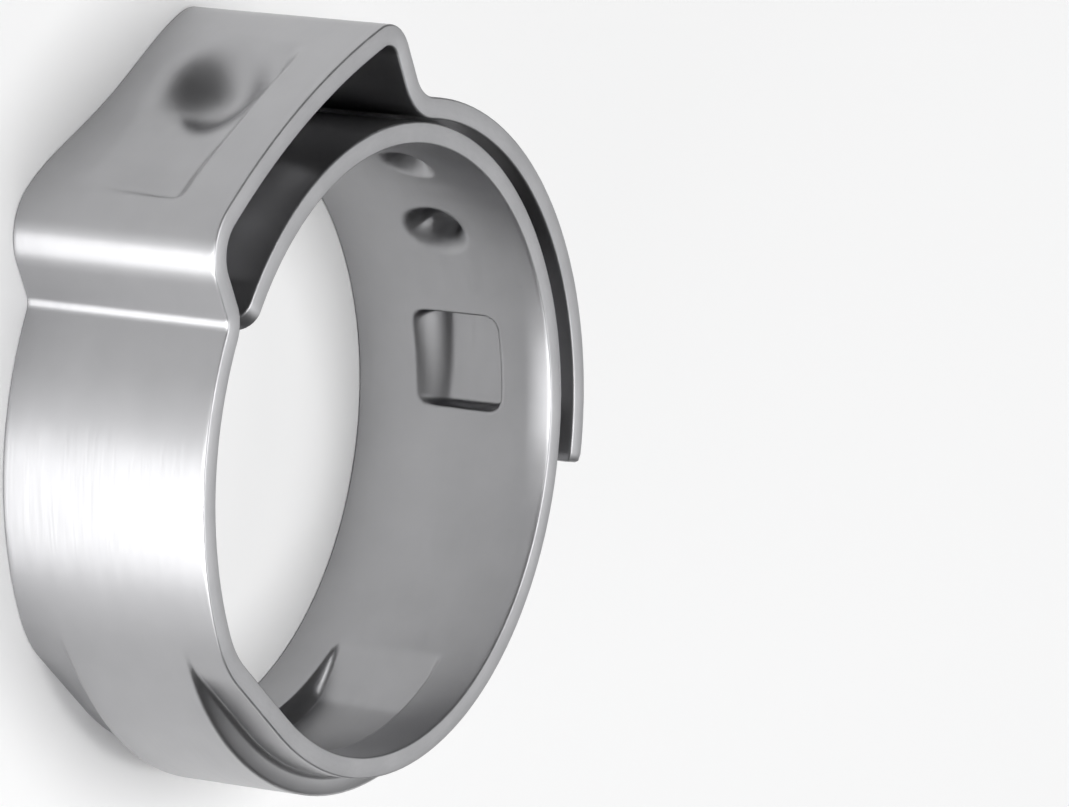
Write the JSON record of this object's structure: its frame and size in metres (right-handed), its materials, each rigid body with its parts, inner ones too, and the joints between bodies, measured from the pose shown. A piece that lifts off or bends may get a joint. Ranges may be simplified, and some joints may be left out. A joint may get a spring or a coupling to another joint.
{
  "type": "ear hose clamp",
  "caption": "Stepless ear clamp bent from one stainless strip: its ends overlap, and squeezing the raised ear closes the ring on a hose.",
  "frame": {"origin": "on the axis of the bore, in the plane of the strip's lower edge", "axes": "+Z along the bore, +Y from the axis through the middle of the ear"},
  "size_m": [0.0218, 0.023, 0.007],
  "materials": {
    "stainless_strip": "smooth rolled stainless steel strip, satin, with brighter sheared edges"
  },
  "bodies": {
    "root": {"clamp_band": "stainless_strip"}
  },
  "joints": []
}
